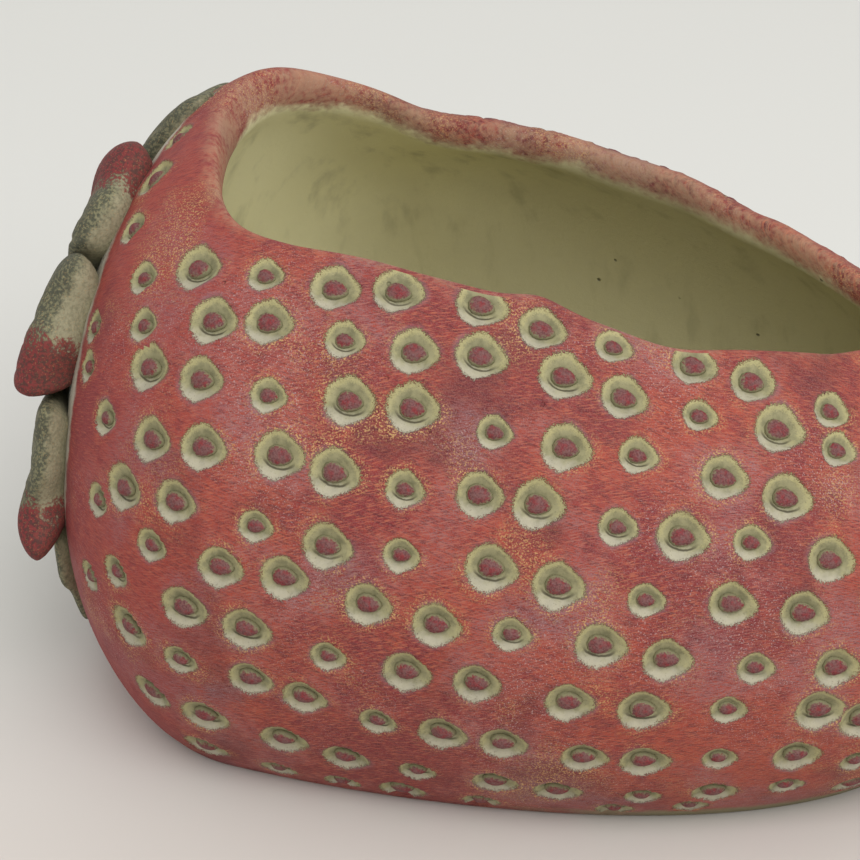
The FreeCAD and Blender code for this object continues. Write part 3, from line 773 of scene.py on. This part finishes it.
# margin of a leaf in plan: out along one flank and back along the other. Its half width grows from the
# root, is rounded off at the tip, wavers, and stays within half the turn to the next leaf
def sepalMargin(number):
    reach = calyx["reaches"][number]
    turns = np.mod(np.radians(np.array(calyx["angles"]) - calyx["angles"][number]), fullTurn)
    turns = turns[turns > 0]
    around = np.arange(calyx["columns"]) / calyx["columns"] * fullTurn
    share = (1 - np.cos(around)) / 2
    flank = np.where(around < math.pi, 1, -1)
    out = calyx["root"] + (reach - calyx["root"]) * share
    tip = np.maximum(share - calyx["tipFrom"], 0) / (1 - calyx["tipFrom"])
    tip = np.clip(1 - tip ** 4, 0, 1) ** 0.5
    foot = np.maximum(calyx["rootTo"] - share, 0) / calyx["rootTo"]
    foot = np.clip(1 - foot ** 2, 0, 1) ** 0.5
    half = calyx["rootWidth"] + (1 - calyx["rootWidth"]) * ease(share, 0, calyx["fullAt"])
    half = calyx["width"] / 2 * half * (1 + calyx["sideWave"] * np.sin(12 * share + 2 * number + flank))
    space = out * np.tan(np.where(flank > 0, fullTurn - turns.max(), turns.min()) / 2) - calyx["gap"]
    space = np.maximum(space, calyx["leastHalf"]) * np.maximum(tip, calyx["leastTip"])
    across = flank * np.minimum(half * tip, space) * foot * np.sign(tip)
    side = across / calyx["width"] * 2
    slow, fast = calyx["tipWaves"]
    wave = slow * np.sin(3.2 * side + 1.7 * number) + fast * np.cos(7 * side + 2.3 * number)
    return out * (1 + wave * share ** 3), across


# a leaf: rings from the middle of its outer face over the rounded margin to the middle of its inner face.
# The outer face is an ellipse turned round the axis, the inner face lies in the skin, the tip turns up, and
# grooves run down the middle and slant out to the margin
def sepalGrid(number):
    reach = calyx["reaches"][number]
    marginOut, marginAcross = sepalMargin(number)
    middle = calyx["root"] + calyx["middle"] * (reach - calyx["root"])
    outer = np.sin(np.linspace(0, math.pi / 2, calyx["outerRings"]))
    inner = np.sin(np.linspace(math.pi / 2, 0, calyx["innerRings"]))[1:]
    ring = np.concatenate([outer, inner])[:, None]
    onTop = np.repeat([True, False], [len(outer), len(inner)])[:, None]
    (rimPower, rimRoot), (footPower, footRoot) = calyx["rimCurve"], calyx["footCurve"]
    rounded = calyx["rim"] * (1 - np.clip(1 - ring ** rimPower, 0, 1) ** rimRoot)
    sloping = calyx["rim"] + (1 - calyx["rim"]) * np.clip(1 - ring ** footPower, 0, 1) ** footRoot
    depth = np.where(onTop, rounded, sloping)
    out = middle + ring * (marginOut - middle)
    across = ring * marginAcross
    share = (out - calyx["root"]) / (reach - calyx["root"])
    radius = np.hypot(out, across)

    spread, bedded = berry["radius"] + calyx["flares"][number], berry["radius"] + calyx["lift"]
    upper = (berry["calyxReach"] + calyx["stands"][number]) * np.sqrt(1 - (radius / spread) ** 2)
    lower = (berry["calyxReach"] - calyx["bed"]) * np.sqrt(1 - (radius / bedded) ** 2)
    skin = berry["calyxReach"] * np.sqrt(np.clip(1 - (radius / berry["radius"]) ** 2, 0, 1))
    lower = np.maximum(lower, skin) - calyx["sunk"]
    aside = across / calyx["width"] * 2 - calyx["corner"][number]
    corner = np.exp(-(aside / calyx["cornerWidth"]) ** 2)
    curl = calyx["curl"] + calyx["cornerCurl"] * calyx["blush"][number] * corner
    upper = np.maximum(upper + curl * ease(share, *calyx["curlSpan"]), lower + calyx["leastThick"])

    onFace = np.clip(1 - depth / calyx["rim"], 0, 1) ** 3
    onFace = onFace * ease(share, 0.05, 0.3) * (1 - ease(share, 0.85, 1))       # grooves fade at both ends
    midrib = np.exp(-(across / calyx["midribWidth"]) ** 2) * onFace
    slant = np.cos(fullTurn * (out - calyx["veinSlant"] * np.abs(across)) / calyx["veinPitch"])
    sideVein = np.clip(slant, 0, 1) ** 3 * ease(np.abs(across), *calyx["veinSpan"]) * onFace
    lumps = calyx["lump"] * np.sin(90 * out + 3 * number) * np.sin(150 * across + number) * (1 - depth)
    height = upper - (upper - lower) * depth + lumps
    height = height - calyx["midrib"] * midrib - calyx["sideVein"] * sideVein
    angle = math.radians(calyx["angles"][number])
    outward = math.cos(angle) * nearWay + math.sin(angle) * overWay
    points = widest + outward * out[..., None] + np.cross(axisWay, outward) * across[..., None]
    points = points - axisWay * height[..., None]

    veins = np.clip(midrib + calyx["veinPale"] * sideVein, 0, 1)
    blush = calyx["blush"][number] * corner * ease(share, *calyx["blushSpan"])
    return points, np.stack([veins, 1 - 2 * depth + 0 * across, blush], axis=-1)


# one leaf's piece, with its veins, its faces and its red corner written for the paint
def buildSepal(number, material):
    points, leaf = sepalGrid(number)
    node = "sepal_%02d" % (number + 1)
    piece = makePiece(node + ".painted", closedRows(points), closedFaces(*points.shape[:2]), material)
    writeAttribute(piece, "leaf", "FLOAT_VECTOR", "POINT", closedRows(leaf))
    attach(piece, "root")
    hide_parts(node)


stem = {                        # the stub in the middle of the leaves
    "foot": 0.0100,
    "top": 0.0072,
    "length": 0.0215,
    "sink": 0.004,
    "capFrom": 0.8,             # share of the rows at which the rounded top begins
    "dish": 0.0016,             # its middle sinks inside a low swell
    "swell": 0.0012,
    "ridge": 0.05,
    "ridges": 5,
    "leaf": (0.0, 0.2, 0.0),    # what the leaves' paint reads: no vein, a mixed face and no red
    "rows": 22,
    "columns": 28,
}


# stem stub: rings along the axis from inside the leafy end to a rounded, slightly dished top
def buildStem(material):
    share = np.linspace(0, 1, stem["rows"])
    along = np.minimum(share / stem["capFrom"], 1) * (stem["length"] + stem["sink"]) - stem["sink"]
    cap = np.clip((share - stem["capFrom"]) / (1 - stem["capFrom"]), 0, 1)
    radius = stem["foot"] + (stem["top"] - stem["foot"]) * np.clip(along / stem["length"], 0, 1)
    radius = radius * np.sqrt(np.clip(1 - cap ** 2.5, 0, 1))
    along = along - stem["dish"] * cap + stem["swell"] * np.sin(cap * math.pi)
    around = np.arange(stem["columns"]) / stem["columns"] * fullTurn
    ridge = 1 + stem["ridge"] * np.sin(stem["ridges"] * around) * (1 - cap[:, None])
    outward = np.cos(around)[:, None] * nearWay + np.sin(around)[:, None] * overWay
    points = widest - axisWay * (berry["calyxReach"] + along)[:, None, None]
    points = points + outward * (radius[:, None] * ridge)[..., None]
    points[0] = points[0].mean(axis=0)
    body = closedRows(points[::-1])
    piece = makePiece("stem_stub.painted", body, closedFaces(*points.shape[:2]), material)
    writeAttribute(piece, "leaf", "FLOAT_VECTOR", "POINT", np.tile(stem["leaf"], (len(body), 1)))
    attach(piece, "root")
    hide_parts("stem_stub")


buildShell()
seedPaint = seedMaterial()
for node, (along, angle, small) in seedRows.items():
    buildSeeds(node, along, angle, small, seedPaint)
print("seed rows", len(seedRows))
leafPaint = leafMaterial()
for number in range(len(calyx["angles"])):
    buildSepal(number, leafPaint)
buildStem(leafPaint)
print("calyx leaves", len(calyx["angles"]))

room = {                        # table, light and camera
    "table": tint("cbc5bf"),
    "wall": tint("d6d6d2"),
    "wallFrom": 0.1137,         # by here the table has taken the wall's tone
    "wallBlend": 0.3,
    "tableHalf": 4.0,
    "eye": (16.69, 31.31),      # camera's azimuth and elevation, degrees
    "roll": 0.86,
    "distance": 0.9887,
    "aim": (-0.0528, 0.0, 0.0911),
    "focalPixels": 2795.4,
    "imagePixels": 860,
    "sensor": 36,
    "sky": (1.0, 0.99, 0.97, 1.0),
    "skyStrength": 0.9,
    "lamps": {                  # place, aim, size and power of each
        "windowLight": ((0.45, -0.80, 1.20), (-0.06, 0, 0.12), 0.8, 9.0),
        "sideLight": ((1.05, -0.30, 0.85), (-0.12, 0, 0.14), 0.5, 2.5),
    },
}
azimuth, elevation = (math.radians(value) for value in room["eye"])


# pale table that turns to the wall's tone behind the pot
def tableMaterial():
    material, shader, root = startMaterial("paleTable")
    place = root.make("ShaderNodeTexCoord", {}, {}, "Object")
    depth = place.part(1) * math.cos(azimuth) - place.part(0) * math.sin(azimuth)
    behind = depth.ease(room["wallFrom"] - room["wallBlend"], room["wallFrom"])
    color = behind.between(room["table"], room["wall"])
    finishMaterial(shader, color, 0.55 + behind * 0.3, place.cloud(30, 3.0) * 0.0002)
    return material


corners = np.array([[-1, -1, 0], [1, -1, 0], [1, 1, 0], [-1, 1, 0]]) * room["tableHalf"]
table = makePiece("table", corners, [[0, 1, 2, 3]], tableMaterial())

scene = bpy.context.scene
scene.view_settings.view_transform = "Standard"
world = bpy.data.worlds.new("softRoom")
scene.world = world
world.use_nodes = True
sky = world.node_tree.nodes["Background"]
sky.inputs["Color"].default_value = room["sky"]
sky.inputs["Strength"].default_value = room["skyStrength"]


# soft square lamp at a place, turned to face an aim
def addLamp(name, place, aim, size, power):
    lamp = bpy.data.lights.new(name, "AREA")
    lamp.size = size
    lamp.energy = power
    item = bpy.data.objects.new(name, lamp)
    facing = (Vector(aim) - Vector(place)).to_track_quat("-Z", "Y").to_matrix().to_4x4()
    item.matrix_world = Matrix.Translation(place) @ facing
    scene.collection.objects.link(item)


for name, lamp in room["lamps"].items():
    addLamp(name, *lamp)

level = math.cos(elevation)
back = Vector((math.sin(azimuth) * level, -math.cos(azimuth) * level, math.sin(elevation)))
right = Vector((math.cos(azimuth), math.sin(azimuth), 0))
upright = Matrix((right, back.cross(right), back)).transposed()
turned = upright @ Matrix.Rotation(math.radians(room["roll"]), 3, "Z")
lens = bpy.data.cameras.new("photoCamera")
lens.sensor_width = room["sensor"]
lens.lens = room["sensor"] * room["focalPixels"] / room["imagePixels"]
camera = bpy.data.objects.new("photoCamera", lens)
camera.matrix_world = Matrix.Translation(Vector(room["aim"]) + back * room["distance"]) @ turned.to_4x4()
scene.collection.objects.link(camera)
scene.camera = camera
print("table, lamps and camera set")
